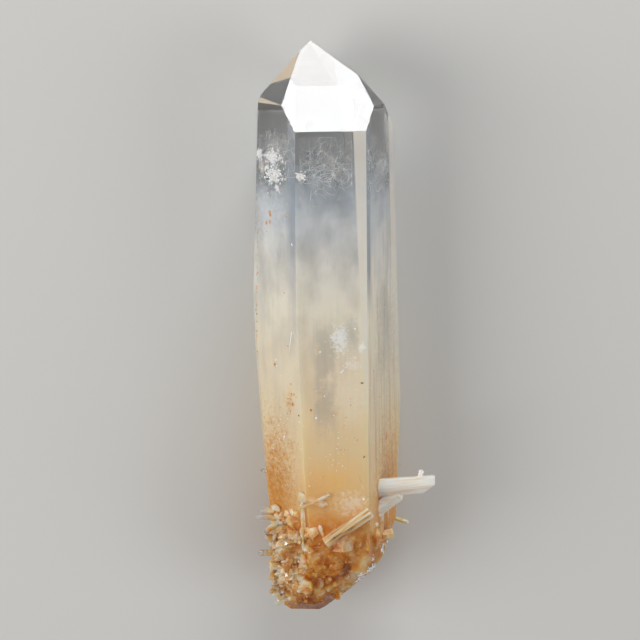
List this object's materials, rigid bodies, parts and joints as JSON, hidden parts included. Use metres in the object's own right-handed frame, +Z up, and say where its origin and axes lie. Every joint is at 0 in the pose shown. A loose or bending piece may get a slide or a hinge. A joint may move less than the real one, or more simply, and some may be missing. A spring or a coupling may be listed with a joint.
{
  "type": "quartz crystal point",
  "caption": "Milky, orange-rooted quartz point lying on its flat back face, with a slanted clear tip and small crystals grown into its rough root.",
  "frame": {"origin": "centre of the bounding box at the surface that the crystal lies on", "axes": "+Y along the crystal towards its tip, +Z up out of the front prism face, +X to the side that carries the flat blade"},
  "size_m": [0.0436, 0.1414, 0.0335],
  "materials": {
    "quartz": "clear at the tip, milky along its length and stained orange at the root; glossy, flat faces with fine cross striations",
    "veils": "white veils, wisps and healed cracks inside the crystal",
    "iron_stain": "dull orange and brown specks and films of iron oxide"
  },
  "bodies": {
    "root": {"quartz_point": "quartz"}
  },
  "joints": []
}
